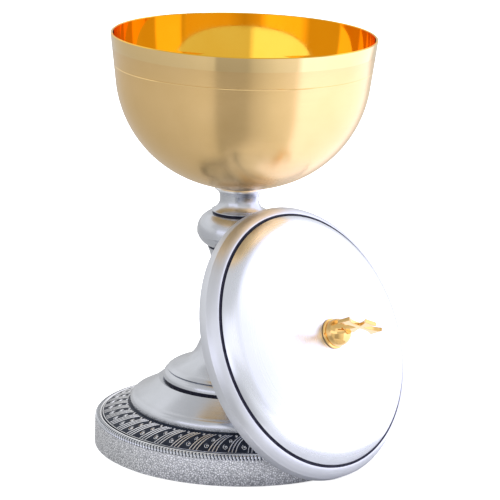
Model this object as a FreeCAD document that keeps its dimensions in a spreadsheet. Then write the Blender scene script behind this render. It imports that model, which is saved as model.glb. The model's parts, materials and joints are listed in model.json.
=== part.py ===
import FreeCAD, Part
import math
import os
import Sketcher

# Ciborium: a gilt cup on a silvered, turned stem and a stepped round foot, with its
# lid taken off and leaned against the stem. Millimetres, +Z up. The origin is the
# centre of the face that the foot stands on.

DOCUMENT = FreeCAD.newDocument("ciborium")
SHEET = "Sizes"

# Driving sizes. Radii are from the axis of the piece, heights from the standing face
# for the vessel, and from the open edge of the skirt for the lid.
SIZES = {
    # clamping rod through the whole stack, with its nut and washer
    "rod_radius": 2.5,
    "rod_bore": 2.75,
    "rod_bottom": 1.6,
    "rod_top": 119.0,
    "rod_chamfer": 0.5,
    "nut_circumradius": 4.62,
    "nut_bottom": 2.4,
    "nut_height": 4.0,
    "nut_bore": 2.55,
    "washer_radius": 7.0,
    "washer_height": 1.0,
    "washer_margin": 4.0,
    # play between pieces that slip into one another
    "fit_gap": 0.1,
    # felt under the foot and the plate that closes the foot
    "felt_radius": 61.2,
    "felt_height": 0.9,
    "plate_radius": 61.8,
    "plate_height": 1.2,
    "well_radius": 18.0,
    "well_slope": 4.0,
    "well_depth": 6.5,
    # upright wall of the foot
    "wall_foot": 0.2,
    "wall_edge": 0.5,
    "base_radius": 63.35,
    "wall_inner": 61.85,
    "wall_top": 12.4,
    "wall_flange": 1.2,
    "flange_inner": 57.4,
    "ledge_inner": 60.2,
    "ledge_height": 1.2,
    # milled ring on the corner, smooth border ring, relief band
    "milled_inner": 61.25,
    "milled_outer": 63.1,
    "milled_top": 14.25,
    "milled_crown": 62.1,
    "milled_round": 1.35,
    "border_inner": 59.5,
    "border_edge_top": 14.5,
    "border_top": 14.7,
    "border_round": 1.1,
    "band_foot": 58.3,
    "band_outer_top": 14.5,
    "band_inner_top": 19.5,
    "band_inner": 47.4,
    "shelf_inner": 45.1,
    "shelf_top": 19.8,
    "band_wall": 1.2,
    # concave bell of the foot
    "bell_foot_radius": 47.0,
    "bell_lip": 47.3,
    "bell_lip_top": 21.0,
    "bell_lip_round": 3.3,
    "bell_lip_inner": 44.2,
    "bell_lip_crest": 24.5,
    "bell_hollow_round": 60.0,
    "bell_top": 31.3,
    "bell_top_radius": 34.4,
    "bell_wall": 1.5,
    "bell_spigot": 1.5,
    "bell_spigot_inner": 43.5,
    # dark spacer disc, bead ring
    "foot_spacer_radius": 31.6,
    "bead_bottom": 32.4,
    "bead_radius": 32.4,
    "bead_round": 3.1,
    "bead_neck": 30.6,
    "bead_neck_top": 35.7,
    "bead_top": 36.0,
    "bead_seat": 29.8,
    "bead_inner": 27.0,
    "bead_web": 1.4,
    # trumpet of the stem
    "trumpet_edge": 30.5,
    "trumpet_edge_top": 36.3,
    "shoulder_round": 7.0,
    "shoulder_radius": 26.9,
    "shoulder_top": 38.0,
    "shoulder_inner": 24.8,
    "shoulder_inner_top": 39.0,
    "flare_round": 14.2,
    "flare_radius": 17.9,
    "flare_top": 45.0,
    "shaft_round": 78.2,
    "waist_radius": 10.6,
    "waist_height": 78.0,
    "crown_round": 41.6,
    "crown_radius": 13.8,
    "crown_top": 94.0,
    "trumpet_wall": 1.7,
    "trumpet_cap": 1.8,
    "crown_hollow_radius": 11.3,
    "flare_hollow_radius": 15.7,
    "flare_hollow_height": 45.8,
    "shoulder_hollow_radius": 24.0,
    "shoulder_hollow_height": 37.5,
    # knop between two dark spacer discs
    "lower_spacer_radius": 13.0,
    "knop_bottom": 95.2,
    "knop_bottom_radius": 14.4,
    "knop_lower_round": 7.3,
    "knop_radius": 18.8,
    "knop_middle": 102.0,
    "knop_upper_round": 8.6,
    "knop_top": 109.7,
    "knop_top_radius": 14.0,
    "upper_spacer_radius": 12.0,
    # waisted neck, bright ring and the boss that is brazed under the cup
    "neck_bottom": 110.9,
    "neck_bottom_radius": 12.5,
    "neck_foot": 111.2,
    "neck_lower_round": 5.4,
    "neck_radius": 8.85,
    "neck_waist": 116.2,
    "neck_upper_round": 8.0,
    "neck_top_radius": 10.0,
    "neck_top": 120.5,
    "socket_radius": 5.0,
    "socket_bottom": 113.0,
    "socket_bore": 5.1,
    "socket_dish_top": 121.75,
    "socket_dish_bottom": 121.57,
    "ring_foot_radius": 10.8,
    "ring_radius": 11.2,
    "ring_round": 1.2,
    "ring_dish_radius": 10.4,
    "ring_dish_top": 122.4,
    "ring_dish_bottom": 121.78,
    "ring_edge_top": 122.3,
    # cup: shallow bottom arc, tighter side arc, then a straight lip
    "cup_bottom": 121.6,
    "cup_bottom_round": 64.66,
    "cup_low_radius": 24.61,
    "cup_low": 126.47,
    "cup_side_round": 53.2,
    "cup_high_radius": 57.14,
    "cup_high": 168.99,
    "cup_radius": 60.0,
    "cup_top": 191.85,
    "cup_wall": 1.1,
    "cup_low_set_in": 0.42,
    "cup_low_set_up": 1.02,
    "cup_high_set_in": 1.09,
    "cup_high_set_up": 0.14,
    # lid, measured from the open edge of its skirt
    "lid_radius": 62.45,
    "lid_skirt_inner": 60.9,
    "lid_skirt_edge": 0.4,
    "lid_crease_radius": 62.2,
    "lid_crease": 4.2,
    "lid_shoulder_round": 6.5,
    "lid_shoulder_radius": 58.4,
    "lid_shoulder": 8.2,
    "lid_seat_edge": 4.6,
    "lid_seat_radius": 58.0,
    "lid_seat": 7.0,
    "lid_collar": 56.6,
    "lid_collar_inner": 55.2,
    "lid_groove_radius": 57.2,
    "lid_groove_top": 9.5,
    "dome_edge": 57.9,
    "dome_edge_round": 1.5,
    "dome_line_radius": 57.1,
    "dome_line": 10.5,
    "dome_foot_radius": 56.7,
    "dome_foot": 10.95,
    "dome_shoulder_round": 26.0,
    "dome_shoulder_radius": 50.5,
    "dome_shoulder": 13.6,
    "dome_round": 188.0,
    "dome_top": 20.5,
    "dome_wall": 1.2,
    "dome_shoulder_hollow": 12.3,
    "dome_foot_hollow": 10.05,
    "dome_hole": 1.7,
    # finial: boss, cross and the stud that holds them
    "boss_radius": 7.4,
    "boss_bottom": 20.5,
    "boss_flange_top": 21.4,
    "boss_body_radius": 6.1,
    "boss_body_bottom": 21.8,
    "boss_body_round": 6.3,
    "boss_neck_radius": 2.1,
    "boss_neck": 29.2,
    "boss_top": 30.0,
    "stud_radius": 1.5,
    "stud_bottom": 14.6,
    "stud_top": 27.0,
    "boss_bore": 1.6,
    "boss_bore_top": 27.4,
    "finial_washer_radius": 4.0,
    "finial_washer_height": 0.7,
    "finial_nut_circumradius": 3.2,
    "finial_nut_height": 2.4,
    "cross_centre": 37.0,
    "cross_span": 10.4,
    "cross_head": 6.6,
    "cross_foot": 7.0,
    "cross_arm_end": 3.7,
    "cross_arm_root": 1.35,
    "cross_arm_round": 12.0,
    "cross_thickness": 1.8,
    "cross_turn": -24.5,
    # where the lid leans: the lowest point of its edge on the ground beside the foot,
    # the compass direction its axis faces from -Y towards +X, and that axis's rise
    "lean_x": 49.14,
    "lean_y": -45.38,
    "lean_gap": 0.1,
    "lean_azimuth": 48.7,
    "lean_rise": 24.65,
}


def build_sheet():
    """Spreadsheet with one aliased cell for each driving size."""
    sheet = DOCUMENT.addObject("Spreadsheet::Sheet", SHEET)
    for row, (alias, number) in enumerate(SIZES.items(), start=1):
        cell = "B%d" % row
        sheet.set("A%d" % row, alias)
        sheet.set(cell, str(number))
        sheet.setAlias(cell, alias)
    DOCUMENT.recompute()
    return sheet


def number_of(formula):
    """Value of a sum such as 'cup_radius - cup_wall'."""
    total = 0.0
    sign = 1.0
    for word in formula.split():
        if word in "+-":
            sign = 1.0 if word == "+" else -1.0
        elif word in SIZES:
            total += sign * SIZES[word]
        else:
            total += sign * float(word)
    return total


def bound(formula):
    """The same sum as an expression on the sheet's cells."""
    words = [SHEET + "." + word if word in SIZES else word for word in formula.split()]
    return " ".join(words)


def plane_of(body, role):
    for feature in body.Origin.OriginFeatures:
        if feature.Role == role:
            return feature
    raise RuntimeError("no plane " + role)


def new_body(label):
    body = DOCUMENT.addObject("PartDesign::Body", label)
    body.Label = label
    return body


def new_sketch(body, name, role):
    sketch = body.newObject("Sketcher::SketchObject", name)
    sketch.AttachmentSupport = (plane_of(body, role), [""])
    sketch.MapMode = "FlatFace"
    return sketch


def arc_between(start, end, radius):
    """Circular arc from start to end, at most a half turn. A positive radius keeps
    the centre on the left of the way from start to end, a negative one on the right."""
    middle = (start + end) * 0.5
    chord = end - start
    half = chord.Length * 0.5
    left = FreeCAD.Vector(-chord.y, chord.x, 0).normalize()
    side = 1.0 if radius > 0 else -1.0
    reach = math.sqrt(max(radius * radius - half * half, 0.0))
    centre = middle + left * (side * reach)
    circle = Part.Circle(centre, FreeCAD.Vector(0, 0, 1), abs(radius))
    first = math.atan2(start.y - centre.y, start.x - centre.x)
    last = math.atan2(end.y - centre.y, end.x - centre.x)
    if side > 0:
        return Part.ArcOfCircle(circle, first, last), True
    return Part.ArcOfCircle(circle, last, first), False


def draw_outline(sketch, corners):
    """Closed outline. Each corner is (across, up) or (across, up, radius): the third
    entry makes the edge that leaves the corner an arc of that signed radius."""
    points = [FreeCAD.Vector(number_of(c[0]), number_of(c[1]), 0) for c in corners]
    count = len(corners)
    starts = []
    ends = []
    for index, corner in enumerate(corners):
        start = points[index]
        end = points[(index + 1) % count]
        if len(corner) == 2:
            edge = sketch.addGeometry(Part.LineSegment(start, end), False)
            starts.append((edge, 1))
            ends.append((edge, 2))
            continue
        sign = -1.0 if corner[2].startswith("-") else 1.0
        radius = sign * number_of(corner[2].lstrip("-"))
        arc, forward = arc_between(start, end, radius)
        edge = sketch.addGeometry(arc, False)
        starts.append((edge, 1 if forward else 2))
        ends.append((edge, 2 if forward else 1))
        fixed = sketch.addConstraint(Sketcher.Constraint("Radius", edge, abs(radius)))
        sketch.setExpression("Constraints[%d]" % fixed, bound(corner[2].lstrip("-")))
    for index in range(count):
        joined = starts[(index + 1) % count]
        sketch.addConstraint(Sketcher.Constraint("Coincident", *ends[index], *joined))
    for index, corner in enumerate(corners):
        place_point(sketch, starts[index], corner[0], "DistanceX", -2)
        place_point(sketch, starts[index], corner[1], "DistanceY", -1)


def place_point(sketch, vertex, formula, kind, axis):
    """Holds one coordinate of a vertex at a size from the sheet."""
    distance = number_of(formula)
    if formula == "0":
        sketch.addConstraint(Sketcher.Constraint("PointOnObject", *vertex, axis))
        return
    held = sketch.addConstraint(Sketcher.Constraint(kind, -1, 1, *vertex, distance))
    sketch.setExpression("Constraints[%d]" % held, bound(formula))


def turned(label, corners):
    """A lathe-turned piece: its half section swung round the Z axis."""
    body = new_body(label)
    sketch = new_sketch(body, label + "_section", "XZ_Plane")
    draw_outline(sketch, corners)
    DOCUMENT.recompute()
    revolution = body.newObject("PartDesign::Revolution", label + "_turning")
    revolution.Profile = sketch
    revolution.ReferenceAxis = (sketch, ["V_Axis"])
    revolution.Angle = 360.0
    body.Tip = revolution
    return body


def ring(label, inner, outer, bottom, top):
    """A plain turned ring or disc of rectangular section."""
    corners = [(inner, bottom), (outer, bottom), (outer, top), (inner, top)]
    return turned(label, corners)


def hexagon_nut(label, circumradius, bore, bottom, height):
    """Hexagon nut: a prism with a round hole cut through it."""
    prism = DOCUMENT.addObject("Part::Prism", label + "_prism")
    prism.Polygon = 6
    prism.setExpression("Circumradius", bound(circumradius))
    hole = DOCUMENT.addObject("Part::Cylinder", label + "_hole")
    hole.setExpression("Radius", bound(bore))
    for solid in (prism, hole):
        solid.setExpression("Height", bound(height))
        solid.setExpression(".Placement.Base.z", bound(bottom))
    nut = DOCUMENT.addObject("Part::Cut", label)
    nut.Base = prism
    nut.Tool = hole
    nut.Label = label
    return nut


# ---------------------------------------------------------------- foot and stem

def build_fixings():
    """Threaded rod with washer and nut, the closing plate and the felt below it."""
    well_top = "felt_height + plate_height + well_depth"
    rod = turned("tie_rod", [
        ("0", "rod_bottom"),
        ("rod_radius - rod_chamfer", "rod_bottom"),
        ("rod_radius", "rod_bottom + rod_chamfer"),
        ("rod_radius", "rod_top - rod_chamfer"),
        ("rod_radius - rod_chamfer", "rod_top"),
        ("0", "rod_top"),
    ])
    nut = hexagon_nut("rod_nut", "nut_circumradius", "nut_bore", "nut_bottom", "nut_height")
    washer_bottom = "nut_bottom + nut_height"
    washer = ring("rod_washer", "rod_bore", "washer_radius",
                  washer_bottom, washer_bottom + " + washer_height")
    plate = turned("base_plate", [
        ("plate_radius", "felt_height"),
        ("plate_radius", "felt_height + plate_height"),
        ("well_radius", "felt_height + plate_height"),
        ("well_radius - well_slope", well_top),
        ("rod_bore", well_top),
        ("rod_bore", washer_bottom + " + washer_height"),
        ("washer_radius + washer_margin", washer_bottom + " + washer_height"),
        ("well_radius - plate_height", "felt_height"),
    ])
    felt = ring("base_felt", "0", "felt_radius", "0", "felt_height")
    return [rod, nut, washer, plate, felt]


def build_wall():
    """Upright wall of the foot, with a ledge for the plate and a flange on top."""
    ledge = "felt_height + plate_height"
    return turned("base_wall", [
        ("wall_inner", "wall_foot"),
        ("base_radius - wall_edge", "wall_foot"),
        ("base_radius", "wall_foot + wall_edge"),
        ("base_radius", "wall_top"),
        ("flange_inner", "wall_top"),
        ("flange_inner", "wall_top - wall_flange"),
        ("wall_inner", "wall_top - wall_flange"),
        ("wall_inner", ledge + " + ledge_height"),
        ("ledge_inner", ledge + " + ledge_height"),
        ("ledge_inner", ledge),
        ("wall_inner", ledge),
    ])


def build_rim_rings():
    """Milled ring on the outer corner and the smooth ring inside it."""
    milled = turned("milled_ring", [
        ("milled_inner", "wall_top"),
        ("milled_outer", "wall_top", "milled_round"),
        ("milled_crown", "milled_top"),
        ("milled_inner", "milled_top"),
    ])
    border = turned("border_ring", [
        ("border_inner", "wall_top"),
        ("milled_inner", "wall_top"),
        ("milled_inner", "border_edge_top", "border_round"),
        ("border_inner", "border_top"),
    ])
    return [milled, border]


def build_relief_band():
    """Sloping band that carries the ornament, on a short wall of its own."""
    return turned("relief_band", [
        ("band_foot", "wall_top"),
        ("border_inner", "wall_top"),
        ("border_inner", "band_outer_top"),
        ("band_inner", "band_inner_top"),
        ("band_inner", "shelf_top"),
        ("shelf_inner", "shelf_top"),
        ("shelf_inner", "shelf_top - band_wall"),
        ("band_foot", "band_outer_top - band_wall"),
    ])


def build_bell():
    """Concave bell that rises from a rounded lip to the seat of the stem."""
    return turned("foot_bell", [
        ("rod_bore", "bell_top"),
        ("rod_bore", "bell_top - bell_wall"),
        ("bell_top_radius - bell_wall", "bell_top - bell_wall", "bell_hollow_round"),
        ("bell_lip_inner - bell_wall", "bell_lip_crest - bell_wall"),
        ("bell_spigot_inner", "shelf_top - bell_spigot"),
        ("shelf_inner - fit_gap", "shelf_top - bell_spigot"),
        ("shelf_inner - fit_gap", "shelf_top"),
        ("bell_foot_radius", "shelf_top"),
        ("bell_lip", "bell_lip_top", "bell_lip_round"),
        ("bell_lip_inner", "bell_lip_crest", "-bell_hollow_round"),
        ("bell_top_radius", "bell_top"),
    ])


def build_bead():
    """Convex bead ring with a web that the rod clamps."""
    return turned("foot_bead", [
        ("rod_bore", "bead_bottom"),
        ("bead_radius", "bead_bottom", "bead_round"),
        ("bead_neck", "bead_neck_top"),
        ("bead_seat", "bead_top"),
        ("bead_inner", "bead_top"),
        ("bead_inner", "bead_bottom + bead_web"),
        ("rod_bore", "bead_bottom + bead_web"),
    ])


def build_trumpet():
    """Hollow stem: a low shoulder, a flare, a long waist and a crown for the knop."""
    return turned("stem_trumpet", [
        ("bead_seat", "bead_top"),
        ("trumpet_edge", "trumpet_edge_top", "shoulder_round"),
        ("shoulder_radius", "shoulder_top"),
        ("shoulder_inner", "shoulder_inner_top", "-flare_round"),
        ("flare_radius", "flare_top", "-shaft_round"),
        ("waist_radius", "waist_height", "-crown_round"),
        ("crown_radius", "crown_top"),
        ("rod_bore", "crown_top"),
        ("rod_bore", "crown_top - trumpet_cap"),
        ("crown_hollow_radius", "crown_top - trumpet_cap", "crown_round + trumpet_wall"),
        ("waist_radius - trumpet_wall", "waist_height", "shaft_round + trumpet_wall"),
        ("flare_hollow_radius", "flare_hollow_height", "flare_round + trumpet_wall"),
        ("shoulder_hollow_radius", "shoulder_hollow_height"),
        ("bead_inner", "bead_top"),
    ])


def build_knop():
    """Squashed ball that is the hand's grip."""
    return turned("knop", [
        ("rod_bore", "knop_bottom"),
        ("knop_bottom_radius", "knop_bottom", "knop_lower_round"),
        ("knop_radius", "knop_middle", "knop_upper_round"),
        ("knop_top_radius", "knop_top"),
        ("rod_bore", "knop_top"),
    ])


def build_neck():
    """Waisted neck, bored wide at the top for the boss of the cup."""
    return turned("neck_collar", [
        ("rod_bore", "neck_bottom"),
        ("neck_bottom_radius", "neck_bottom"),
        ("neck_bottom_radius", "neck_foot", "-neck_lower_round"),
        ("neck_radius", "neck_waist", "-neck_upper_round"),
        ("neck_top_radius", "neck_top"),
        ("socket_bore", "neck_top"),
        ("socket_bore", "socket_bottom - fit_gap"),
        ("rod_bore", "socket_bottom - fit_gap"),
    ])


def build_neck_ring():
    """Thin bright ring, dished on top to the curve of the cup."""
    return turned("neck_ring", [
        ("socket_bore", "neck_top"),
        ("ring_foot_radius", "neck_top", "ring_round"),
        ("ring_radius", "ring_edge_top"),
        ("ring_dish_radius", "ring_dish_top", "-cup_bottom_round"),
        ("socket_bore", "ring_dish_bottom"),
    ])


def build_socket():
    """Boss brazed under the cup; the rod screws up into it."""
    return turned("cup_socket", [
        ("rod_radius", "socket_bottom"),
        ("socket_radius", "socket_bottom"),
        ("socket_radius", "socket_dish_top", "-cup_bottom_round"),
        ("0", "socket_dish_bottom"),
        ("0", "rod_top"),
        ("rod_radius", "rod_top"),
    ])


# ---------------------------------------------------------------- cup

def build_cup():
    """Spun cup: the same three-part curve outside and inside, one wall apart."""
    return turned("cup_bowl", [
        ("0", "cup_bottom", "cup_bottom_round"),
        ("cup_low_radius", "cup_low", "cup_side_round"),
        ("cup_high_radius", "cup_high"),
        ("cup_radius", "cup_top"),
        ("cup_radius - cup_wall", "cup_top"),
        ("cup_high_radius - cup_high_set_in", "cup_high + cup_high_set_up", "-cup_side_round - cup_wall"),
        ("cup_low_radius - cup_low_set_in", "cup_low + cup_low_set_up", "-cup_bottom_round - cup_wall"),
        ("0", "cup_bottom + cup_wall"),
    ])


# ---------------------------------------------------------------- lid

def build_lid_skirt():
    """Skirt that slides over the cup's lip, with an inner slope that lands on it."""
    return turned("lid_skirt", [
        ("lid_skirt_inner", "0"),
        ("lid_radius - lid_skirt_edge", "0"),
        ("lid_radius", "lid_skirt_edge"),
        ("lid_crease_radius", "lid_crease", "lid_shoulder_round"),
        ("lid_shoulder_radius", "lid_shoulder"),
        ("lid_collar", "lid_shoulder"),
        ("lid_collar", "lid_seat"),
        ("lid_seat_radius", "lid_seat"),
        ("lid_skirt_inner", "lid_seat_edge"),
    ])


def build_lid_dome():
    """Shallow dome with a soft shoulder and a collar that fits inside the skirt."""
    return turned("lid_dome", [
        ("lid_collar_inner", "lid_seat"),
        ("lid_collar", "lid_seat"),
        ("lid_collar", "lid_groove_top"),
        ("dome_edge", "lid_groove_top", "dome_edge_round"),
        ("dome_line_radius", "dome_line"),
        ("dome_foot_radius", "dome_foot", "dome_shoulder_round"),
        ("dome_shoulder_radius", "dome_shoulder", "dome_round"),
        ("dome_hole", "dome_top"),
        ("dome_hole", "dome_top - dome_wall", "-dome_round - dome_wall"),
        ("dome_shoulder_radius", "dome_shoulder_hollow", "-dome_shoulder_round - dome_wall"),
        ("lid_collar_inner", "dome_foot_hollow"),
    ])


def build_finial():
    """Gilt boss, its stud through the dome, and the washer and nut inside the lid."""
    boss = turned("finial_boss", [
        ("boss_bore", "boss_bottom"),
        ("boss_radius", "boss_bottom"),
        ("boss_radius", "boss_flange_top"),
        ("boss_body_radius", "boss_body_bottom", "boss_body_round"),
        ("boss_neck_radius", "boss_neck"),
        ("boss_neck_radius", "boss_top"),
        ("0", "boss_top"),
        ("0", "boss_bore_top"),
        ("boss_bore", "boss_bore_top"),
    ])
    stud = ring("finial_stud", "0", "stud_radius", "stud_bottom", "stud_top")
    under = "dome_top - dome_wall - fit_gap"
    washer = ring("finial_washer", "dome_hole", "finial_washer_radius",
                  under + " - finial_washer_height", under)
    nut = hexagon_nut("finial_nut", "finial_nut_circumradius", "boss_bore",
                      under + " - finial_washer_height - finial_nut_height",
                      "finial_nut_height")
    return [boss, stud, washer, nut]


def build_cross():
    """Cross with four flared arms, cut from plate and stood on the boss."""
    body = new_body("finial_cross")
    sketch = new_sketch(body, "cross_outline", "XZ_Plane")
    draw_outline(sketch, [
        ("cross_arm_end", "cross_centre + cross_head"),
        ("0 - cross_arm_end", "cross_centre + cross_head", "-cross_arm_round"),
        ("0 - cross_arm_root", "cross_centre + cross_arm_root", "-cross_arm_round"),
        ("0 - cross_span", "cross_centre + cross_arm_end"),
        ("0 - cross_span", "cross_centre - cross_arm_end", "-cross_arm_round"),
        ("0 - cross_arm_root", "cross_centre - cross_arm_root", "-cross_arm_round"),
        ("0 - cross_arm_end", "cross_centre - cross_foot"),
        ("cross_arm_end", "cross_centre - cross_foot", "-cross_arm_round"),
        ("cross_arm_root", "cross_centre - cross_arm_root", "-cross_arm_round"),
        ("cross_span", "cross_centre - cross_arm_end"),
        ("cross_span", "cross_centre + cross_arm_end", "-cross_arm_round"),
        ("cross_arm_root", "cross_centre + cross_arm_root", "-cross_arm_round"),
    ])
    DOCUMENT.recompute()
    pad = body.newObject("PartDesign::Pad", "cross_plate")
    pad.Profile = sketch
    pad.setExpression("Length", bound("cross_thickness"))
    pad.Midplane = True
    body.Tip = pad
    return body


def lean(piece, turn=0.0):
    """Carries a lid piece from its own frame to where the lid leans."""
    azimuth = SIZES["lean_azimuth"]
    rise = SIZES["lean_rise"]
    across = SIZES["lid_radius"] * math.sin(math.radians(rise))
    sideways = math.radians(azimuth)
    centre = FreeCAD.Vector(
        SIZES["lean_x"] - across * math.sin(sideways),
        SIZES["lean_y"] + across * math.cos(sideways),
        SIZES["lean_gap"] + SIZES["lid_radius"] * math.cos(math.radians(rise)),
    )
    up = FreeCAD.Vector(0, 0, 1)
    swing = FreeCAD.Rotation(up, azimuth)
    tip = FreeCAD.Rotation(FreeCAD.Vector(1, 0, 0), 90.0 - rise)
    spin = FreeCAD.Rotation(up, turn)
    pose = FreeCAD.Placement(centre, swing.multiply(tip).multiply(spin))
    piece.Placement = pose.multiply(piece.Placement)


def check(pieces):
    """Stops unless every object computed and every piece is one good solid."""
    DOCUMENT.recompute()
    for thing in DOCUMENT.Objects:
        if "Invalid" in thing.State or "Error" in thing.State:
            raise RuntimeError("failed object: %s %s" % (thing.Name, thing.State))
    for piece in pieces:
        if piece.Shape.isNull() or not piece.Shape.isValid():
            raise RuntimeError("bad shape: " + piece.Label)
        if len(piece.Shape.Solids) != 1:
            raise RuntimeError("not one solid: " + piece.Label)
        if piece.Shape.Volume <= 0.0:
            raise RuntimeError("no volume: " + piece.Label)


def build():
    build_sheet()
    vessel = build_fixings()
    vessel.append(build_wall())
    vessel.extend(build_rim_rings())
    vessel.append(build_relief_band())
    vessel.append(build_bell())
    vessel.append(ring("foot_spacer", "rod_bore", "foot_spacer_radius", "bell_top", "bead_bottom"))
    vessel.append(build_bead())
    vessel.append(build_trumpet())
    vessel.append(ring("lower_spacer", "rod_bore", "lower_spacer_radius", "crown_top", "knop_bottom"))
    vessel.append(build_knop())
    vessel.append(ring("upper_spacer", "rod_bore", "upper_spacer_radius", "knop_top", "neck_bottom"))
    vessel.append(build_neck())
    vessel.append(build_neck_ring())
    vessel.append(build_socket())
    vessel.append(build_cup())
    lid = [build_lid_skirt()]
    lid.append(ring("lid_groove_ring", "lid_collar", "lid_groove_radius", "lid_shoulder", "lid_groove_top"))
    lid.append(build_lid_dome())
    lid.extend(build_finial())
    cross = build_cross()
    DOCUMENT.recompute()
    for piece in lid:
        lean(piece)
    lean(cross, SIZES["cross_turn"])
    lid.append(cross)
    pieces = vessel + lid
    check(pieces)
    os.makedirs("parts", exist_ok=True)
    for piece in pieces:
        piece.Shape.exportStep("parts/%s.step" % piece.Label)
        print("%-16s volume %10.1f" % (piece.Label, piece.Shape.Volume))
    return pieces


build()
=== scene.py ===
import json
import math

import bmesh
import bpy
from mathutils import Matrix, Vector


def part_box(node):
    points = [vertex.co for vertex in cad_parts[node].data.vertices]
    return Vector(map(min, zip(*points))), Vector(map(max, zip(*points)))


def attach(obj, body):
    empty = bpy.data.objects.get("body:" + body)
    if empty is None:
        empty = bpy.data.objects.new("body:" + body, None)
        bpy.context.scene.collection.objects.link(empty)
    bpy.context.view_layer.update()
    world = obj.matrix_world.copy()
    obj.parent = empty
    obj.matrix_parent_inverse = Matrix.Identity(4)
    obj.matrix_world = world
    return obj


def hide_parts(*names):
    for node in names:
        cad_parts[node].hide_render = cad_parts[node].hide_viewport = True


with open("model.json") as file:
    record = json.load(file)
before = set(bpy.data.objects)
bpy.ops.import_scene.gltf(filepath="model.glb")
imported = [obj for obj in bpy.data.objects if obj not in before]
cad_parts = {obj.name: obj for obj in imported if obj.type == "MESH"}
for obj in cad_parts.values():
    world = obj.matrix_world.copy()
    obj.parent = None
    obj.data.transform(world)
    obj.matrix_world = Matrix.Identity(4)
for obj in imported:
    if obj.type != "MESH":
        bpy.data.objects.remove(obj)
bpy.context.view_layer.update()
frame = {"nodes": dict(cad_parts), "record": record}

# Ciborium: a gilt cup on a silvered, turned stem and a stepped round foot, with its lid
# leaning against the stem. Outlines are in millimetres: (distance from the axis, height),
# the height above the standing face for the vessel and above the skirt's open edge for
# the lid. Everything else is in metres.
MM = 0.001
UPRIGHT = Matrix()      # place of the vessel: its axis is the Z axis
AROUND = 256            # segments of a large turned piece
AROUND_SMALL = 128      # segments of a small one
ARC_STEP = 0.9          # longest step along a curved edge, mm
SHARP = math.radians(32)

CAMERA_PLACE = (0.0, -1.24054, 0.403218)
CAMERA_DIP = 14.068     # degrees below the horizon
CAMERA_TURN = 0.26      # degrees to the right of +Y
CAMERA_ROLL = 1.90      # degrees
CAMERA_LENS = 202.16    # mm on a 36 mm sensor

CUP_WALL = 1.1
CUP_BOTTOM_ROUND = 64.66    # outer radius of the cup's shallow bottom arc
CUP_SIDE_ROUND = 53.2       # outer radius of the tighter arc above it
CUP_LOW = (24.61, 4.87)     # where the two arcs meet, its height above the cup's foot
CUP_HIGH = (57.14, 47.39)   # where the straight lip starts


# ---------------------------------------------------------------- outlines and lathe

def arc_between(start, end, radius):
    """Points along the arc from start to end, without its ends. A positive radius keeps
    the centre on the left of the way, a negative one on the right."""
    chord = end - start
    half = chord.length / 2
    left = Vector((-chord.y, chord.x)).normalized()
    reach = math.sqrt(max(radius * radius - half * half, 0.0))
    centre = (start + end) / 2 + left * math.copysign(reach, radius)
    turn = 2 * math.asin(min(half / abs(radius), 1.0))
    steps = max(2, math.ceil(abs(radius) * turn / ARC_STEP))
    points = []
    for step in range(1, steps):
        angle = math.copysign(turn * step / steps, radius)
        spoke = start - centre
        points.append(centre + Matrix.Rotation(angle, 2) @ spoke)
    return points


def outline(corners):
    """Points of an outline. A corner's third entry makes the edge that leaves it an arc."""
    points = []
    for index, corner in enumerate(corners):
        start = Vector(corner[:2])
        points.append(start)
        if len(corner) == 3:
            end = Vector(corners[(index + 1) % len(corners)][:2])
            points.extend(arc_between(start, end, corner[2]))
    return points


def finish_mesh(name, verts, faces, looks, place=UPRIGHT, smooth=True):
    """Object from vertices in millimetres, with its materials, laid out at a place."""
    mesh = bpy.data.meshes.new(name)
    mesh.from_pydata([place @ (Vector(v) * MM) for v in verts], [], faces)
    mesh.update()
    piece = bpy.data.objects.new(name, mesh)
    bpy.context.collection.objects.link(piece)
    for look in looks:
        mesh.materials.append(look)
    if smooth:
        mesh.polygons.foreach_set("use_smooth", [True] * len(mesh.polygons))
        mesh.set_sharp_from_angle(angle=SHARP)
    return piece


def lathe(name, corners, looks, around=AROUND, place=UPRIGHT, wobble=None):
    """Turned piece from a closed outline. wobble(point, turn) may move a point outwards."""
    points = outline(corners)
    verts = []
    rings = []
    for point in points:
        if point.x < 1e-6:
            rings.append([len(verts)] * around)
            verts.append((0.0, 0.0, point.y))
            continue
        rings.append(list(range(len(verts), len(verts) + around)))
        for step in range(around):
            turn = 2 * math.pi * step / around
            reach = point.x + (wobble(point, turn) if wobble else 0.0)
            verts.append((reach * math.cos(turn), reach * math.sin(turn), point.y))
    faces = []
    for index, low in enumerate(rings):
        high = rings[(index + 1) % len(rings)]
        for step in range(around):
            after = (step + 1) % around
            corner_ids = [low[step], low[after], high[after], high[step]]
            face = tuple(dict.fromkeys(corner_ids))
            if len(face) > 2:
                faces.append(face)
    return finish_mesh(name, verts, faces, looks, place)


def paint(piece, choose, place=UPRIGHT):
    """Gives each face the material that choose(face centre in mm, in its place) names."""
    back = place.inverted()
    for face in piece.data.polygons:
        face.material_index = choose((back @ face.center) / MM)


def mount(piece, body, slot, *nodes):
    """Makes a piece ride on a body and stand in for the CAD nodes."""
    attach(piece, body)
    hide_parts(*nodes)
    return piece


# ---------------------------------------------------------------- materials

def add(tree, kind, **settings):
    node = tree.nodes.new(kind)
    for key, value in settings.items():
        setattr(node, key, value)
    return node


def new_material(name, **sockets):
    """Material with the constant sockets of its shader set."""
    made = bpy.data.materials.new(name)
    made.use_nodes = True
    shader = made.node_tree.nodes["Principled BSDF"]
    for socket, value in sockets.items():
        shader.inputs[socket.replace("_", " ")].default_value = value
    return made, made.node_tree, shader


def own_place(tree):
    return add(tree, "ShaderNodeTexCoord").outputs["Object"]


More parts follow.
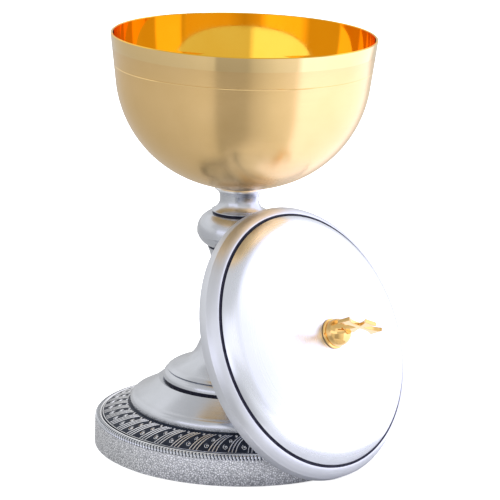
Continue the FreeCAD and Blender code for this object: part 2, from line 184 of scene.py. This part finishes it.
def turned_place(tree, place):
    """Coordinates that only change along a turned section: lines run round the axis."""
    moved = add(tree, "ShaderNodeMapping")
    back = place.inverted()
    moved.inputs["Location"].default_value = back.to_translation()
    moved.inputs["Rotation"].default_value = back.to_euler()
    tree.links.new(own_place(tree), moved.inputs["Vector"])
    split = add(tree, "ShaderNodeSeparateXYZ")
    tree.links.new(moved.outputs[0], split.inputs[0])
    flat = add(tree, "ShaderNodeCombineXYZ")
    tree.links.new(split.outputs["X"], flat.inputs["X"])
    tree.links.new(split.outputs["Y"], flat.inputs["Y"])
    reach = add(tree, "ShaderNodeVectorMath", operation="LENGTH")
    tree.links.new(flat.outputs[0], reach.inputs[0])
    joined = add(tree, "ShaderNodeCombineXYZ")
    tree.links.new(reach.outputs["Value"], joined.inputs["X"])
    tree.links.new(split.outputs["Z"], joined.inputs["Z"])
    return joined.outputs[0]


def noise(tree, place, scale, detail=3.0):
    node = add(tree, "ShaderNodeTexNoise")
    node.inputs["Scale"].default_value = scale
    node.inputs["Detail"].default_value = detail
    tree.links.new(place, node.inputs["Vector"])
    return node.outputs["Fac"]


def colour_by(tree, shader, value, low, high, start=0.3, end=0.7):
    """Base colour that runs from low to high as value goes from start to end."""
    ramp = add(tree, "ShaderNodeValToRGB")
    ramp.color_ramp.elements[0].position = start
    ramp.color_ramp.elements[1].position = end
    ramp.color_ramp.elements[0].color = (*low, 1)
    ramp.color_ramp.elements[1].color = (*high, 1)
    tree.links.new(value, ramp.inputs["Fac"])
    tree.links.new(ramp.outputs["Color"], shader.inputs["Base Color"])


def roughness_by(tree, shader, value, low, high):
    span = add(tree, "ShaderNodeMapRange")
    span.inputs["From Min"].default_value = 0.3
    span.inputs["From Max"].default_value = 0.7
    span.inputs["To Min"].default_value = low
    span.inputs["To Max"].default_value = high
    tree.links.new(value, span.inputs["Value"])
    tree.links.new(span.outputs["Result"], shader.inputs["Roughness"])


def bump_by(tree, shader, value, depth, strength=1.0):
    """Surface relief, depth in metres."""
    bump = add(tree, "ShaderNodeBump")
    bump.inputs["Distance"].default_value = depth
    bump.inputs["Strength"].default_value = strength
    tree.links.new(value, bump.inputs["Height"])
    tree.links.new(bump.outputs["Normal"], shader.inputs["Normal"])


def turned_metal(name, low, high, rough, depth, spread, place=UPRIGHT):
    """Lathe-turned metal: fine lines round its axis that smear reflections across them."""
    made, tree, shader = new_material(
        name, Metallic=1.0, Anisotropic=spread, Anisotropic_Rotation=0.25)
    lines = turned_place(tree, place)
    colour_by(tree, shader, noise(tree, own_place(tree), 60.0), low, high)
    roughness_by(tree, shader, noise(tree, lines, 900.0), *rough)
    bump_by(tree, shader, noise(tree, lines, 2600.0, 2.0), depth)
    around = add(tree, "ShaderNodeVectorMath", operation="CROSS_PRODUCT")
    around.inputs[0].default_value = place.col[2].xyz
    tree.links.new(add(tree, "ShaderNodeNewGeometry").outputs["Normal"], around.inputs[1])
    tree.links.new(around.outputs[0], shader.inputs["Tangent"])
    return made


def polished_metal(name, low, high, rough, depth):
    """Mirror polish with faint cloudiness and slight waves of the wall."""
    made, tree, shader = new_material(name, Metallic=1.0)
    place = own_place(tree)
    colour_by(tree, shader, noise(tree, place, 45.0), low, high)
    roughness_by(tree, shader, noise(tree, place, 350.0), *rough)
    bump_by(tree, shader, noise(tree, place, 90.0, 1.0), depth)
    return made


def grained_metal(name, low, high, grain, depth):
    """Plated metal with a fine pebbled grain: light pebbles parted by dark creases."""
    made, tree, shader = new_material(name, Metallic=1.0)
    place = own_place(tree)
    warp = add(tree, "ShaderNodeVectorMath", operation="MULTIPLY_ADD")
    swirl = add(tree, "ShaderNodeTexNoise")
    swirl.inputs["Scale"].default_value = grain * 0.8
    tree.links.new(place, swirl.inputs["Vector"])
    tree.links.new(swirl.outputs["Color"], warp.inputs[0])
    warp.inputs[1].default_value = (1.4 / grain,) * 3
    tree.links.new(place, warp.inputs[2])
    pebbles = add(tree, "ShaderNodeTexVoronoi", feature="DISTANCE_TO_EDGE")
    pebbles.inputs["Scale"].default_value = grain
    tree.links.new(warp.outputs[0], pebbles.inputs["Vector"])
    colour_by(tree, shader, pebbles.outputs["Distance"], low, high, 0.02, 0.22)
    roughness_by(tree, shader, noise(tree, place, grain), 0.34, 0.48)
    bump_by(tree, shader, pebbles.outputs["Distance"], depth)
    return made


def dark_metal(name, low, high, rough):
    """Black oxidised metal, slightly uneven."""
    made, tree, shader = new_material(name, Metallic=0.0, Specular_IOR_Level=0.12)
    place = own_place(tree)
    colour_by(tree, shader, noise(tree, place, 300.0), low, high)
    roughness_by(tree, shader, noise(tree, place, 500.0), *rough)
    bump_by(tree, shader, noise(tree, place, 1500.0), 0.00002)
    return made


def felt_cloth():
    made, tree, shader = new_material("felt_green", Roughness=0.95, Sheen_Weight=0.3)
    place = own_place(tree)
    colour_by(tree, shader, noise(tree, place, 900.0), (0.03, 0.11, 0.06), (0.07, 0.21, 0.12))
    bump_by(tree, shader, noise(tree, place, 2500.0), 0.0002)
    return made


def pale_floor():
    made, tree, shader = new_material(
        "studio_floor", Roughness=0.7, Specular_IOR_Level=0.2,
        Emission_Color=(1.0, 1.0, 1.0, 1.0), Emission_Strength=0.8)
    place = own_place(tree)
    colour_by(tree, shader, noise(tree, place, 3.0), (0.87, 0.87, 0.875), (0.9, 0.9, 0.9))
    return made


GILT_SATIN = turned_metal(
    "gilt_satin_outside", (0.84, 0.575, 0.255), (0.88, 0.61, 0.285), (0.20, 0.26), 0.000003, 0.75)
GILT_BAND = turned_metal(
    "gilt_polished_band", (0.86, 0.62, 0.29), (0.88, 0.65, 0.32), (0.05, 0.08), 0.000001, 0.5)
GILT_INSIDE = polished_metal(
    "gilt_polished_inside", (0.93, 0.52, 0.05), (0.95, 0.56, 0.065), (0.03, 0.06), 0.000003)
GILT_FINIAL = polished_metal(
    "gilt_cast_finial", (0.86, 0.52, 0.17), (0.93, 0.62, 0.24), (0.05, 0.12), 0.00004)
SILVER = turned_metal(
    "silver_turned", (0.56, 0.58, 0.62), (0.62, 0.64, 0.69), (0.22, 0.28), 0.000002, 0.7)
SILVER_BRIGHT = polished_metal(
    "silver_bright", (0.86, 0.87, 0.89), (0.9, 0.9, 0.92), (0.12, 0.2), 0.00001)
SILVER_GRAINED = grained_metal(
    "silver_pebbled", (0.34, 0.35, 0.38), (0.88, 0.89, 0.92), 1000.0, 0.0003)
SILVER_MILLED = polished_metal(
    "silver_milled", (0.52, 0.54, 0.58), (0.70, 0.72, 0.76), (0.15, 0.25), 0.00002)
# Black oxide of the grooves, also used as painted shadow at the foot of the finial's flange.
BLACK = dark_metal("black_oxide_and_painted_shadow", (0.008, 0.008, 0.02), (0.025, 0.025, 0.045), (0.4, 0.55))
# Black ground of the relief band, also used as painted shade in the milling's gaps and in the
# border ring's channel.
RELIEF_GROUND_AND_SHADE = dark_metal(
    "relief_ground_and_painted_shade", (0.006, 0.010, 0.022), (0.02, 0.027, 0.045), (0.3, 0.45))
STEEL = polished_metal("zinc_steel", (0.50, 0.50, 0.51), (0.62, 0.62, 0.63), (0.3, 0.4), 0.00001)
FELT = felt_cloth()


# ---------------------------------------------------------------- cup

def make_cup():
    """Spun cup: satin outside, a polished band under the lip, mirror-bright inside."""
    lowest, highest = (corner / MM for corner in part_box("cup_bowl"))
    base = lowest.z
    top = highest.z
    rim = (highest.x - lowest.x) / 2
    lip = CUP_WALL / 2
    straight = Vector((CUP_HIGH[0], base + CUP_HIGH[1]))
    lean = (Vector((rim, top)) - straight).normalized()

    def on_side(height):
        return straight + lean * ((height - straight.y) / lean.y)

    line = top - 14.4   # fine turned line
    band = top - 6.7    # lower edge of the polished band
    groove = 0.3
    corners = [
        (0, base, CUP_BOTTOM_ROUND),
        (CUP_LOW[0], base + CUP_LOW[1], CUP_SIDE_ROUND),
        tuple(straight),
        tuple(on_side(line - groove)),
        (on_side(line).x - groove * 0.7, line),
        tuple(on_side(line + groove)),
        tuple(on_side(band)),
        (on_side(band).x + 0.06, band + 0.12),
        (on_side(top - lip).x, top - lip, lip),
        (rim - CUP_WALL, top - lip, -120.0),
        (56.5, base + 52.1, -66.0),
        (24.19, base + 5.89, -63.56),
        (0, base + CUP_WALL),
    ]
    cup = lathe("cup", corners, [GILT_SATIN, GILT_BAND, GILT_INSIDE])
    satin, polished, inside = range(3)

    def choose(centre):
        reach = math.hypot(centre.x, centre.y)
        if centre.z > straight.y:
            outer = reach > on_side(centre.z).x - CUP_WALL / 2
        else:
            outer = on_outer_arcs(reach, centre.z - base)
        if centre.z > top - lip or not outer:
            return inside
        if centre.z > band or abs(centre.z - line) < groove:
            return polished
        return satin

    paint(cup, choose)
    return mount(cup, "vessel", "gilt_satin", "cup_bowl")


def on_outer_arcs(reach, height):
    """True on the outside of the cup's two arcs, false on the inside."""
    half_wall = CUP_WALL / 2
    if reach < CUP_LOW[0] - 0.21:  # the arcs meet a little closer to the axis inside
        return math.hypot(reach, height - CUP_BOTTOM_ROUND) > CUP_BOTTOM_ROUND - half_wall
    turn = math.asin(CUP_LOW[0] / CUP_BOTTOM_ROUND)
    side_across = (CUP_BOTTOM_ROUND - CUP_SIDE_ROUND) * math.sin(turn)
    side_up = CUP_BOTTOM_ROUND - (CUP_BOTTOM_ROUND - CUP_SIDE_ROUND) * math.cos(turn)
    return math.hypot(reach - side_across, height - side_up) > CUP_SIDE_ROUND - half_wall


# ---------------------------------------------------------------- stem and foot

def make_stem():
    """Neck ring, waisted neck, knop, trumpet, bead and bell."""
    bore = 2.75
    pieces = {
        "neck_ring": [
            (5.1, 120.5), (10.8, 120.5, 1.2), (11.2, 122.3), (10.4, 122.4), (5.1, 121.78)],
        "neck_collar": [
            (bore, 110.9), (12.5, 110.9), (12.5, 111.2, -5.4), (8.85, 116.2, -8.0),
            (10.0, 120.5), (bore, 120.5)],
        "knop": [
            (bore, 95.2), (14.4, 95.2, 7.3), (18.45, 99.9), (18.72, 100.15, 30.0),
            (18.8, 102.0, 8.6), (14.0, 109.7), (bore, 109.7)],
        "stem_trumpet": [
            (29.8, 36.0), (30.5, 36.3, 7.0), (26.9, 38.0), (24.8, 39.0, -14.2),
            (17.9, 45.0, -78.2), (10.6, 78.0, -41.6), (13.8, 94.0), (bore, 94.0),
            (bore, 92.2), (11.3, 92.2, 43.3), (8.9, 78.0, 79.9), (15.7, 45.8, 15.9),
            (24.0, 37.5), (27.0, 36.0)],
        "foot_bead": [
            (bore, 32.4), (32.4, 32.4, 3.1), (30.6, 35.7), (29.8, 36.0), (27.0, 36.0),
            (27.0, 33.8), (bore, 33.8)],
        "foot_bell": [
            (bore, 31.3), (bore, 29.8), (32.9, 29.8, 60.0), (42.7, 23.0), (43.5, 18.3),
            (45.0, 18.3), (45.0, 19.8), (47.0, 19.8), (47.3, 21.0, 3.3), (44.2, 24.5, -60.0),
            (34.4, 31.3)],
    }
    for node, corners in pieces.items():
        look = SILVER_BRIGHT if node == "neck_ring" else SILVER
        piece = lathe(node + "_turned", corners, [look])
        mount(piece, "vessel", "silver_satin", node)


def make_border():
    """Smooth ring between the relief and the milling: a bright bead, and a shallow flat channel
    painted dark as shade.
    """
    corners = [
        (59.5, 12.4), (61.25, 12.4), (61.25, 14.1, 0.45), (60.45, 14.3), (60.3, 14.15),
        (59.9, 14.15, 0.3), (59.5, 14.6)]
    piece = lathe("border_ring_turned", corners, [SILVER_BRIGHT, RELIEF_GROUND_AND_SHADE])
    # Painted shade: the flat channel between the two beads gets the dark relief ground.
    paint(piece, lambda centre: 1 if 59.85 < math.hypot(centre.x, centre.y) < 60.35 else 0)
    mount(piece, "vessel", "silver_satin", "border_ring")


def make_milling():
    """Corner ring milled with close, slightly slanting ribs; the gaps between them are painted
    dark as shade.
    """
    ribs = 244
    steps_per_rib = 6
    depth = 0.45
    start = 12.4
    crown = 14.25
    plain_inside = 61.6     # no ribs on the part nearer the axis
    slant = 1.0             # phase of a rib, in radians, for each mm of height

    def wobble(point, turn):
        if point.x < plain_inside:
            return 0.0
        phase = ribs * turn + slant * (point.y - start)
        return -depth * (0.5 - 0.5 * math.cos(phase)) ** 1.5

    corners = [(61.25, start), (63.3, start, 1.45), (62.1, crown), (61.25, crown)]
    piece = lathe("milled_ring_ribbed", corners, [SILVER_MILLED, RELIEF_GROUND_AND_SHADE],
                  around=ribs * steps_per_rib, wobble=wobble)

    # Painted shade: the gaps between the ribs get the dark relief ground.
    def choose(centre):
        turn = math.atan2(centre.y, centre.x)
        phase = ((ribs * turn + slant * (centre.z - start)) / (2 * math.pi)) % 1.0
        return 1 if abs(phase - 0.5) < 0.17 else 0

    paint(piece, choose)
    mount(piece, "vessel", "silver_milled", "milled_ring")


def make_wall():
    """Upright wall of the foot with its pebbled face."""
    corners = [
        (61.85, 0.2), (62.85, 0.2, 0.5), (63.35, 0.7), (63.35, 12.1, 0.3), (63.05, 12.4),
        (57.4, 12.4), (57.4, 11.2), (61.85, 11.2), (61.85, 3.3), (60.2, 3.3), (60.2, 2.1),
        (61.85, 2.1)]
    piece = lathe("base_wall_grained", corners, [SILVER_GRAINED])
    mount(piece, "vessel", "silver_grained", "base_wall")


# ---------------------------------------------------------------- relief band

BAND_FOOT = Vector((59.5, 14.5))
BAND_HEAD = Vector((47.4, 19.5))
BAND_GROUPS = 42
BAND_PHASE = math.radians(-91.25)   # where the first group starts
BAND_LINE_SPACING = 1.65
CURLS = (  # along, inward, half width, half length, winding
    (7.5, 3.9, 1.3, 1.8, 1),
    (10.0, 8.1, 0.95, 1.3, -1),
    (12.9, 11.6, 0.8, 0.8, 1),
)
# half-round section of a raised line: share of its width across, share of its height up
RIB_SECTION = ((-0.5, 0.0), (-0.36, 0.7), (0.0, 1.0), (0.36, 0.7), (0.5, 0.0))


def on_band(along, inward, rise):
    """Point on the sloping band: mm along it, mm inwards from its foot, mm above it."""
    slope = (BAND_HEAD - BAND_FOOT).normalized()
    outwards = Vector((-slope.y, slope.x)) * -1.0
    section = BAND_FOOT + slope * inward + outwards * rise
    turn = BAND_PHASE + along / BAND_FOOT.x
    return (section.x * math.cos(turn), section.x * math.sin(turn), section.y)


def add_rib(verts, faces, path, width, height):
    """Raised rounded line along a path of (along, inward) points, thinner at its ends."""
    first = len(verts)
    count = len(path)
    for index, point in enumerate(path):
        before = path[max(index - 1, 0)]
        after = path[min(index + 1, count - 1)]
        way = (after - before).normalized()
        side = Vector((-way.y, way.x))
        fullness = math.sin(math.pi * (0.15 + 0.7 * index / (count - 1))) ** 0.35
        for across, up in RIB_SECTION:
            spot = point + side * (across * width * fullness)
            verts.append(on_band(spot.x, spot.y, up * height * fullness))
    span = len(RIB_SECTION)
    for index in range(count - 1):
        for step in range(span - 1):
            corner = first + index * span + step
            faces.append((corner, corner + 1, corner + span + 1, corner + span))


def sweep_path(offset):
    """One long line of a group: steep at the foot, bending over towards the head."""
    steps = 14
    stride = 1.03
    first = math.radians(80)
    turned = math.radians(52)
    spot = Vector((offset, 0.4))
    points = [spot.copy()]
    for step in range(steps):
        heading = first - turned * (step / (steps - 1)) ** 1.4
        spot += Vector((math.cos(heading), math.sin(heading))) * stride
        points.append(spot.copy())
    return points


def curl_path(centre, radii, turns, start):
    """Small spiral that winds inwards, its two radii along and across the band."""
    points = []
    steps = 16
    for step in range(steps + 1):
        share = step / steps
        angle = start + turns * 2 * math.pi * share
        reach = 1.0 - 0.72 * share
        points.append(centre + Vector((
            math.cos(angle) * radii[0] * reach, math.sin(angle) * radii[1] * reach)))
    return points


def make_relief():
    """Black sloping band with groups of three swept lines and three curls between them."""
    corners = [
        (58.3, 12.4), (59.5, 12.4), tuple(BAND_FOOT), tuple(BAND_HEAD), (47.4, 19.8),
        (45.1, 19.8), (45.1, 18.6), (58.3, 13.3)]
    ground = lathe("relief_band_ground", corners, [RELIEF_GROUND_AND_SHADE])
    mount(ground, "vessel", "relief_silver", "relief_band")
    verts = []
    faces = []
    period = 2 * math.pi * BAND_FOOT.x / BAND_GROUPS
    for group in range(BAND_GROUPS):
        offset = group * period
        for line in range(3):
            add_rib(verts, faces, sweep_path(offset + line * BAND_LINE_SPACING), 0.5, 0.12)
        for along, inward, wide, long, way in CURLS:
            spot = Vector((offset + along, inward))
            add_rib(verts, faces, curl_path(spot, (wide, long), way * 1.2, 1.9 * way), 0.3, 0.16)
            leaf = Vector((wide * 0.9, long * 0.9))
            add_rib(verts, faces, [spot - leaf * 0.3, spot, spot + leaf * 0.3], 0.45, 0.12)
    lines = finish_mesh("relief_lines", verts, faces, [SILVER_BRIGHT])
    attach(lines, "vessel")


# ---------------------------------------------------------------- lid

def lid_place():
    """Frame of the leaning lid: its axis from the joint, its centre from the skirt."""
    joint = frame["record"]["behaviour"]["joints"][0]
    axis = Vector(joint["axis"]).normalized()
    side = Vector((0, 0, 1)).cross(axis).normalized()
    upward = axis.cross(side)
    spots = [vertex.co for vertex in frame["nodes"]["lid_skirt"].data.vertices]
    centre = Vector((0, 0, 0))
    for way in (side, upward):
        reach = [spot.dot(way) for spot in spots]
        centre += way * (min(reach) + max(reach)) / 2
    centre += axis * min(spot.dot(axis) for spot in spots)
    place = Matrix((side, upward, axis)).transposed().to_4x4()
    place.translation = centre
    return place


def make_lid(place):
    """Skirt with its rolled shoulder, the black groove and the shallow dome."""
    skirt_metal = turned_metal(
        "silver_skirt", (0.67, 0.69, 0.74), (0.73, 0.75, 0.80), (0.38, 0.44), 0.000002, 0.4,
        place)
    dome_metal = turned_metal(
        "silver_lid", (0.80, 0.83, 0.90), (0.83, 0.86, 0.93), (0.26, 0.30), 0.0000008, 0.6,
        place)
    skirt = lathe("lid_skirt_turned", [
        (60.9, 0.0), (62.05, 0.0, 0.4), (62.45, 0.4), (62.2, 4.2), (62.05, 4.35, 6.5),
        (58.4, 8.2), (56.6, 8.2), (56.6, 7.0), (58.0, 7.0), (60.9, 4.6)],
        [skirt_metal], place=place)
    mount(skirt, "lid", "silver_satin", "lid_skirt")
    groove = lathe("lid_groove_ring_black", [
        (56.65, 8.22), (58.1, 8.22), (58.1, 8.27), (56.95, 8.4), (56.9, 8.9), (56.65, 8.9)],
        [BLACK], place=place)
    mount(groove, "lid", "black_oxide", "lid_groove_ring")
    dome = lathe("lid_dome_turned", [
        (55.2, 7.0), (56.6, 7.0), (56.6, 8.9), (56.9, 8.9, 11.1), (50.5, 13.6, 188.0),
        (1.7, 20.5), (1.7, 19.3, -186.8), (50.5, 12.3, -24.8), (55.2, 10.05)],
        [dome_metal], place=place)
    mount(dome, "lid", "silver_satin", "lid_dome")


def make_finial(place):
    """Boss with its flange and neck, and the flared cross on it. The flange's foot is painted
    black as shadow.
    """
    boss = lathe("finial_boss_turned", [
        (1.6, 20.5), (6.75, 20.5), (6.9, 20.7), (6.9, 21.1, 0.3), (6.6, 21.4), (6.1, 21.6, 6.4),
        (2.1, 29.2), (2.1, 30.0), (0.0, 30.0), (0.0, 27.4), (1.6, 27.4)],
        [GILT_FINIAL, BLACK], around=AROUND_SMALL, place=place)
    # Painted shadow: below this height the flange's foot gets the black material, standing in for
    # the shade in the gap between the flange and the dome.
    painted_shadow_top = 20.75
    paint(boss, lambda centre: 1 if centre.z < painted_shadow_top else 0, place)
    mount(boss, "lid", "gilt_polished", "finial_boss")
    middle = 37.0       # height of the cross's centre
    end = 3.7           # half width of an arm at its end
    root = 1.35         # and at the crossing
    arm = 12.0          # radius of the hollow curve between the two
    cross_turn = math.radians(-24.5)
    corners = [
        (end, middle + 6.6), (-end, middle + 6.6, -arm), (-root, middle + root, -arm),
        (-10.4, middle + end), (-10.4, middle - end, -arm), (-root, middle - root, -arm),
        (-end, middle - 7.0), (end, middle - 7.0, -arm), (root, middle - root, -arm),
        (10.4, middle - end), (10.4, middle + end, -arm), (root, middle + root, -arm)]
    points = outline(corners)
    half_thickness = 0.9
    verts = [(p.x, side * half_thickness, p.y) for side in (-1, 1) for p in points]
    count = len(points)
    faces = [tuple(range(count)), tuple(reversed(range(count, 2 * count)))]
    for index in range(count):
        after = (index + 1) % count
        faces.append((index, index + count, after + count, after))
    turned = place @ Matrix.Rotation(cross_turn, 4, "Z")
    cross = finish_mesh("finial_cross_flared", verts, faces, [GILT_FINIAL], turned)
    work = bmesh.new()
    work.from_mesh(cross.data)
    bmesh.ops.recalc_face_normals(work, faces=work.faces)
    work.to_mesh(cross.data)
    work.free()
    edge = cross.modifiers.new("soft_edges", "BEVEL")
    edge.width = 0.28 * MM
    edge.segments = 3
    edge.limit_method = "ANGLE"
    edge.angle_limit = math.radians(40)
    mount(cross, "lid", "gilt_polished", "finial_cross")


# ---------------------------------------------------------------- carried-over nodes

def finish_nodes():
    """Materials of the CAD pieces whose shape stays as it is."""
    looks = {
        "base_felt": FELT, "base_plate": BLACK, "foot_spacer": BLACK, "lower_spacer": BLACK,
        "upper_spacer": BLACK, "cup_socket": GILT_SATIN,
        "tie_rod": STEEL, "rod_washer": STEEL, "rod_nut": STEEL, "finial_stud": STEEL,
        "finial_washer": STEEL, "finial_nut": STEEL,
    }
    for node, look in looks.items():
        mesh = frame["nodes"][node].data
        mesh.materials.clear()
        mesh.materials.append(look)


# ---------------------------------------------------------------- studio

def make_floor():
    """Plain white floor. The metals don't see it: the tent's lower part stands in for it."""
    half = 8.0
    mesh = bpy.data.meshes.new("studio_floor")
    drop = -0.0002
    mesh.from_pydata(
        [(-half, -half, drop), (half, -half, drop), (half, half, drop), (-half, half, drop)],
        [], [(0, 1, 2, 3)])
    floor = bpy.data.objects.new("studio_floor", mesh)
    bpy.context.collection.objects.link(floor)
    mesh.materials.append(pale_floor())
    floor.visible_glossy = False


# Brightness of the white tent round the object, by compass direction in degrees from the
# -Y side towards +X: below the horizon, above it, and above 20 degrees or so. Low down
# there is a dim opening in front and a bright softbox on the right. Higher up a second
# softbox stands front left, and higher still a third one over the front.
TENT_LOW = (
    (-180, 0.60), (-150, 0.66), (-118, 0.64), (-80, 0.70), (-55, 0.75), (-33, 0.84),
    (-25, 0.80), (-22, 0.53), (3, 0.54), (9, 0.72), (29, 1.02), (46, 1.15), (52, 1.80),
    (140, 1.70), (152, 0.85), (180, 0.60))
TENT_HIGH = (
    (-180, 0.65), (-150, 0.90), (-75, 0.95), (-66, 0.75), (-60, 1.45), (-10, 1.45),
    (-4, 0.78), (60, 0.78), (80, 1.55), (140, 1.60), (155, 0.90), (180, 0.65))
TENT_UPPER = (
    (-180, 0.80), (-153, 1.00), (-95, 1.00), (-88, 0.75), (-30, 0.75), (-21, 1.20),
    (45, 1.20), (52, 0.90), (66, 0.95), (78, 1.50), (140, 1.50), (160, 0.90), (180, 0.80))
TENT_TOP = 0.68     # brightness of its roof
COOL = 0.3          # how much bluer the softboxes are than the tent cloth


def calculate(tree, operation, first, second):
    node = add(tree, "ShaderNodeMath", operation=operation)
    for socket, value in zip(node.inputs, (first, second)):
        if isinstance(value, float):
            socket.default_value = value
        else:
            tree.links.new(value, socket)
    return node.outputs[0]


def blend_by_height(tree, height, start, end, below, above):
    """Colour that goes from below to above as the height goes from start to end."""
    rise = add(tree, "ShaderNodeMapRange", interpolation_type="SMOOTHSTEP")
    rise.inputs["From Min"].default_value = start
    rise.inputs["From Max"].default_value = end
    tree.links.new(height, rise.inputs["Value"])
    mixed = add(tree, "ShaderNodeMix", data_type="RGBA")
    tree.links.new(rise.outputs["Result"], mixed.inputs["Factor"])
    tree.links.new(below, mixed.inputs["A"])
    tree.links.new(above, mixed.inputs["B"])
    return mixed.outputs["Result"]


def tent_ring(tree, heading, levels, brightest):
    """Grey level round the horizon from a table of (heading in degrees, level)."""
    share = add(tree, "ShaderNodeMapRange")
    share.inputs["From Min"].default_value = -math.pi
    share.inputs["From Max"].default_value = math.pi
    tree.links.new(heading, share.inputs["Value"])
    ramp = add(tree, "ShaderNodeValToRGB")
    stops = ramp.color_ramp.elements
    while len(stops) < len(levels):
        stops.new(0.5)
    for stop, (direction, level) in zip(stops, levels):
        share_of_white = level / brightest
        blue = 1.0 + COOL * max(0.0, level - 1.0)
        stop.position = (direction + 180) / 360
        stop.color = (share_of_white, share_of_white, share_of_white * blue, 1)
    tree.links.new(share.outputs["Result"], ramp.inputs["Fac"])
    return ramp.outputs["Color"]


def make_card():
    """Grey card lying under the lid's edge: only the metals see it."""
    lowest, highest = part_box("lid_skirt")
    inwards = 0.026     # from the skirt's nearest point
    middle = Vector(((lowest.x + highest.x) / 2, lowest.y + inwards, -0.0001))
    reach = 0.075
    sides = 48
    verts = [middle + Vector((math.cos(turn), math.sin(turn), 0)) * reach
             for turn in (2 * math.pi * side / sides for side in range(sides))]
    mesh = bpy.data.meshes.new("grey_card")
    mesh.from_pydata(verts, [], [tuple(range(sides))])
    card = bpy.data.objects.new("grey_card", mesh)
    bpy.context.collection.objects.link(card)
    made, tree, shader = new_material("grey_card", Roughness=0.9)
    colour_by(tree, shader, noise(tree, own_place(tree), 20.0), (0.66, 0.66, 0.67),
              (0.72, 0.72, 0.73))
    mesh.materials.append(made)
    card.visible_camera = False
    card.visible_diffuse = False
    card.visible_shadow = False


def make_tent():
    """World light: the tent's rings, blended into each other by height."""
    world = bpy.data.worlds.new("white_tent")
    bpy.context.scene.world = world
    world.use_nodes = True
    tree = world.node_tree
    tree.nodes.clear()
    place = add(tree, "ShaderNodeTexCoord").outputs["Generated"]
    split = add(tree, "ShaderNodeSeparateXYZ")
    tree.links.new(place, split.inputs[0])
    flat = add(tree, "ShaderNodeCombineXYZ")
    tree.links.new(split.outputs["X"], flat.inputs["X"])
    tree.links.new(split.outputs["Y"], flat.inputs["Y"])
    reach = add(tree, "ShaderNodeVectorMath", operation="LENGTH")
    tree.links.new(flat.outputs[0], reach.inputs[0])
    front = calculate(tree, "MULTIPLY", split.outputs["Y"], -1.0)
    heading = calculate(tree, "ARCTAN2", split.outputs["X"], front)
    brightest = max(level for _, level in TENT_LOW + TENT_HIGH + TENT_UPPER)
    high = tent_ring(tree, heading, TENT_HIGH, brightest)
    narrowing = calculate(tree, "POWER", reach.outputs["Value"], 0.6)
    low_heading = calculate(tree, "MULTIPLY", heading, narrowing)
    low = tent_ring(tree, low_heading, TENT_LOW, brightest)
    sinking = calculate(tree, "MULTIPLY", split.outputs["Z"], 0.18)
    dimming = calculate(tree, "ADD", sinking, 1.0)
    dimmed = add(tree, "ShaderNodeVectorMath", operation="SCALE")
    tree.links.new(low, dimmed.inputs[0])
    tree.links.new(dimming, dimmed.inputs["Scale"])
    upper = tent_ring(tree, heading, TENT_UPPER, brightest)
    roof = add(tree, "ShaderNodeRGB").outputs[0]
    roof.default_value = (TENT_TOP / brightest,) * 3 + (1,)
    mixed = blend_by_height(tree, split.outputs["Z"], 0.0, 0.09, dimmed.outputs[0], high)
    mixed = blend_by_height(tree, split.outputs["Z"], 0.33, 0.42, mixed, upper)
    mixed = blend_by_height(tree, split.outputs["Z"], 0.68, 0.80, mixed, roof)
    light = add(tree, "ShaderNodeBackground")
    light.inputs["Strength"].default_value = brightest
    tree.links.new(mixed, light.inputs["Color"])
    out = add(tree, "ShaderNodeOutputWorld")
    tree.links.new(light.outputs[0], out.inputs["Surface"])


def make_lamp(name, place, size, watts):
    """Soft area lamp that looks at the object and doesn't show in its polish."""
    data = bpy.data.lights.new(name, "AREA")
    data.size = size
    data.energy = watts
    lamp = bpy.data.objects.new(name, data)
    bpy.context.collection.objects.link(lamp)
    lamp.location = place
    lamp.rotation_euler = (-Vector(place)).to_track_quat("-Z", "Y").to_euler()
    lamp.visible_glossy = False
    data.cycles.cast_shadow = False


def make_camera():
    data = bpy.data.cameras.new("view")
    data.lens = CAMERA_LENS
    data.clip_start = 0.05
    camera = bpy.data.objects.new("view", data)
    bpy.context.collection.objects.link(camera)
    turn = Matrix.Rotation(math.radians(-CAMERA_TURN), 4, "Z")
    tilt = Matrix.Rotation(math.radians(90 - CAMERA_DIP), 4, "X")
    roll = Matrix.Rotation(math.radians(CAMERA_ROLL), 4, "Z")
    camera.matrix_world = Matrix.Translation(CAMERA_PLACE) @ turn @ tilt @ roll
    bpy.context.scene.camera = camera


make_camera()
make_tent()
make_floor()
make_card()
make_lamp("overhead", (0.3, 0.4, 2.4), 2.0, 42.0)
make_cup()
make_stem()
make_border()
make_milling()
make_wall()
make_relief()
leaning = lid_place()
make_lid(leaning)
make_finial(leaning)
finish_nodes()
bpy.context.scene.view_settings.view_transform = "Standard"
bpy.context.scene.cycles.glossy_bounces = 10
